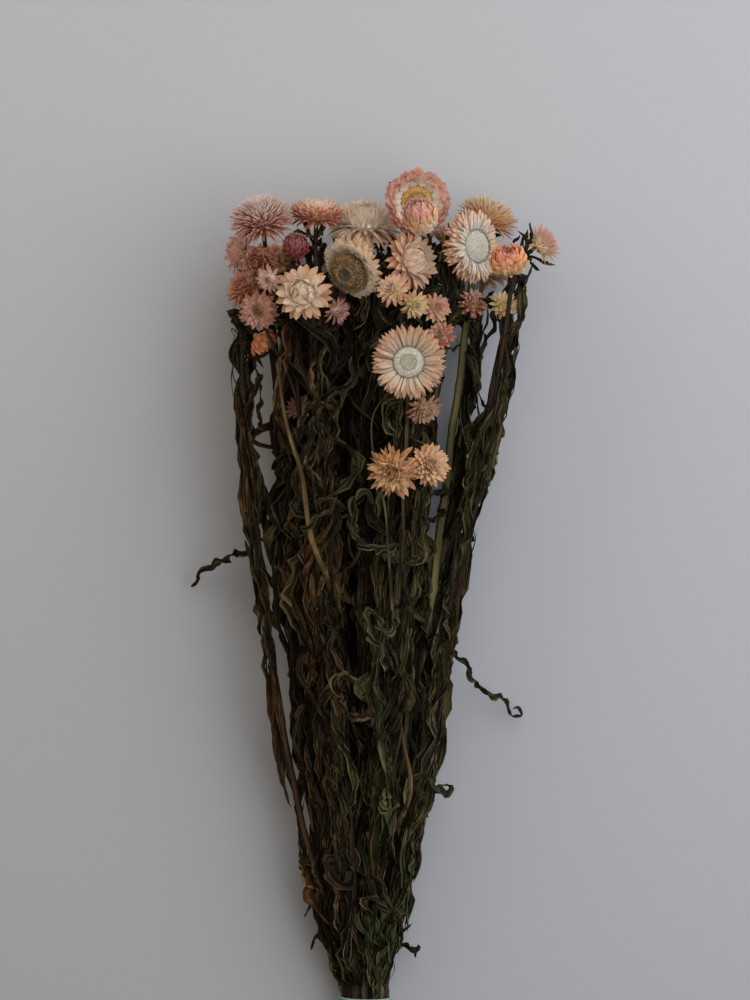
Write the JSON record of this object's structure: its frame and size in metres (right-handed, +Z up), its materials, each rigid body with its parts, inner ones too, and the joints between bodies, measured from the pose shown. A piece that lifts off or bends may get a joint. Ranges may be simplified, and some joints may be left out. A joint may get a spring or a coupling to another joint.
{
  "type": "dried strawflower bunch",
  "caption": "Tied bunch of dried strawflowers lying on its side, with papery heads, dark wrinkled foliage and bare cut stems.",
  "frame": {"origin": "on the surface the bunch lies on, under the middle of its bounding box", "axes": "+Z up from the surface; the bunch lies along Y with its heads at the +Y end"},
  "size_m": [0.203, 0.5656, 0.1168],
  "materials": {
    "lilac": "dry papery bracts, dusky lilac-pink",
    "rose": "dry papery bracts, brownish rose",
    "peach": "dry papery bracts, peach with paler middles",
    "cream": "dry papery bracts, cream",
    "straw": "dry papery bracts, straw",
    "disc": "matt, felted, grey-green",
    "foliage": "matt, wrinkled, dark olive brown",
    "tie": "soft matt mint green band"
  },
  "bodies": {
    "root": {"head_lilac_left": "lilac", "head_rose_flat": "rose", "head_lilac_side": "lilac", "head_rose_behind": "rose", "head_bud_dark": "rose", "head_cream_small": "cream", "head_rose_left": "rose", "head_lilac_star": "lilac", "head_rose_drooping": "rose", "head_cream_front": "cream", "head_lilac_tucked": "lilac", "head_straw_dome": "straw", "head_cream_seeded": "cream", "head_rose_ring": "peach", "head_bud_rose": "lilac", "head_peach_middle": "peach", "head_cream_star": "cream", "head_straw_small": "straw", "head_cream_wide": "cream", "head_peach_high": "peach", "head_peach_cup": "peach", "head_lilac_right": "lilac", "head_peach_open": "peach", "head_peach_hanging": "peach", "head_tan_low": "peach", "head_peach_low": "peach", "head_lilac_inner": "lilac", "head_rose_inner": "rose", "head_rose_right": "rose", "head_straw_right": "straw", "head_lilac_hidden": "lilac", "head_lilac_back": "lilac", "head_rose_under": "rose", "head_cream_under": "cream", "head_peach_under": "peach", "disc_cream_seeded": "disc", "disc_rose_ring": "disc", "disc_cream_wide": "disc", "disc_peach_open": "disc", "stem_cream_front": "foliage", "stem_peach_open": "foliage", "stem_peach_cup": "foliage", "stem_bud_dark": "foliage", "stem_cream_seeded": "foliage", "stem_peach_middle": "foliage", "stem_cream_wide": "foliage", "stem_rose_drooping": "foliage", "stem_lilac_left": "foliage", "stem_rose_ring": "foliage", "stem_rose_inner": "foliage", "stem_lilac_right": "foliage", "stem_lilac_side": "foliage", "stem_rose_flat": "foliage", "stem_straw_dome": "foliage", "stem_peach_high": "foliage", "stem_rose_under": "foliage", "stem_cream_under": "foliage", "stem_peach_under": "foliage", "tie_band": "tie"}
  },
  "joints": []
}
